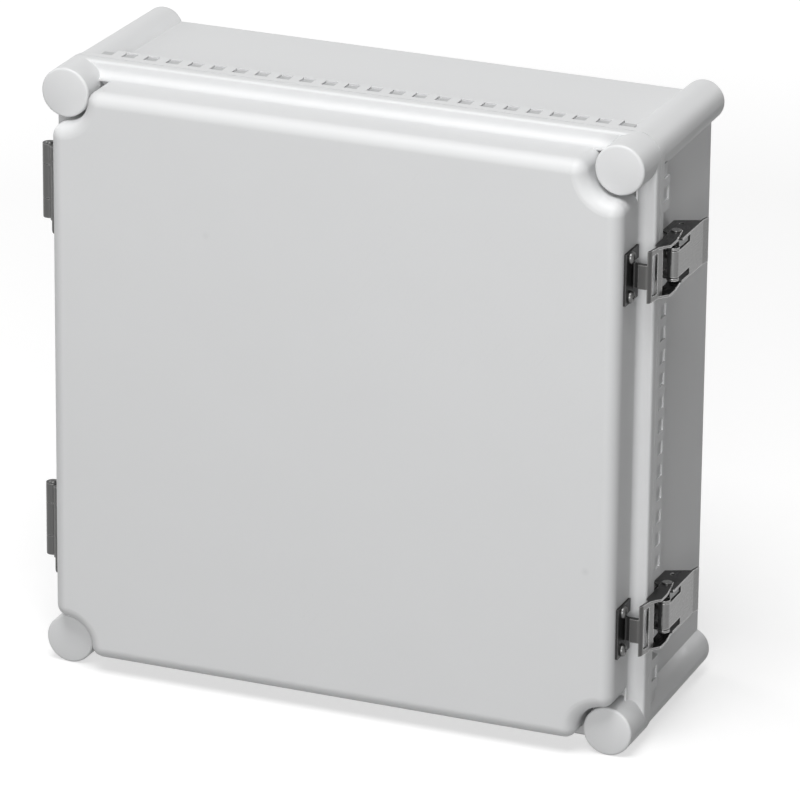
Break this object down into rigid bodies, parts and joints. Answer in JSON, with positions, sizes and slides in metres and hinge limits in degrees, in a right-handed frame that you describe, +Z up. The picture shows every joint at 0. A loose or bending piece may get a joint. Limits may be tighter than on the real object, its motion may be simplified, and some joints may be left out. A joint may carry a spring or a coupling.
{
  "type": "hinged enclosure",
  "caption": "Square light grey moulded wall enclosure with a deep door on side hinges, closed by steel toggle latches, with capped corner towers and fixing columns.",
  "frame": {"origin": "centre of the wall face, the plane that the back of the base rests on", "axes": "+Y into the wall, so the door faces -Y; +Z up, along the hinge axis; +X right, towards the latches"},
  "size_m": [0.3184, 0.122, 0.3],
  "materials": {
    "housing": "fine satin moulding texture, light grey polycarbonate",
    "seal": "soft foamed sealing strip",
    "stainless": "stamped stainless steel with a dull tumbled finish",
    "brass_insert": "turned brass"
  },
  "bodies": {
    "base": {"base": "housing", "mounting_inserts": "brass_insert", "hinge_base_screws": "stainless", "bracket_screws": "stainless", "upper_hinge_base_leaf": "stainless", "lower_hinge_base_leaf": "stainless", "upper_hinge_pin": "stainless", "lower_hinge_pin": "stainless", "upper_latch_bracket": "stainless", "lower_latch_bracket": "stainless", "upper_latch_pivot_pin": "stainless", "lower_latch_pivot_pin": "stainless"},
    "door": {"door": "housing", "gasket": "seal", "top_right_cap": "housing", "top_left_cap": "housing", "bottom_left_cap": "housing", "bottom_right_cap": "housing", "upper_hinge_door_leaf": "stainless", "lower_hinge_door_leaf": "stainless", "hinge_door_screws": "stainless", "upper_latch_keeper": "stainless", "lower_latch_keeper": "stainless", "keeper_screws": "stainless"},
    "upper_lever": {"upper_latch_lever": "stainless", "upper_latch_link_pin": "stainless"},
    "upper_link": {"upper_latch_link": "stainless"},
    "lower_lever": {"lower_latch_lever": "stainless", "lower_latch_link_pin": "stainless"},
    "lower_link": {"lower_latch_link": "stainless"}
  },
  "joints": [
    {"name": "door_swing", "type": "hinge", "parent": "base", "child": "door", "pos_m": [-0.1565, -0.091, 0], "axis": [0, 0, -1], "range_deg": [0, 180]},
    {"name": "upper_lever_swing", "type": "hinge", "parent": "base", "child": "upper_lever", "pos_m": [0.1546, -0.085, 0.087], "axis": [0, 0, -1], "range_deg": [0, 104]},
    {"name": "upper_link_turn", "type": "hinge", "parent": "upper_lever", "child": "upper_link", "pos_m": [0.1526, -0.076, 0.087], "axis": [0, 0, 1], "range_deg": [0, 120]},
    {"name": "lower_lever_swing", "type": "hinge", "parent": "base", "child": "lower_lever", "pos_m": [0.1546, -0.085, -0.087], "axis": [0, 0, -1], "range_deg": [0, 104]},
    {"name": "lower_link_turn", "type": "hinge", "parent": "lower_lever", "child": "lower_link", "pos_m": [0.1526, -0.076, -0.087], "axis": [0, 0, 1], "range_deg": [0, 120]}
  ],
  "couplings": [
    {"joint": "upper_link_turn", "follows": "upper_lever_swing", "ratio": 1.15},
    {"joint": "lower_link_turn", "follows": "lower_lever_swing", "ratio": 1.15}
  ]
}
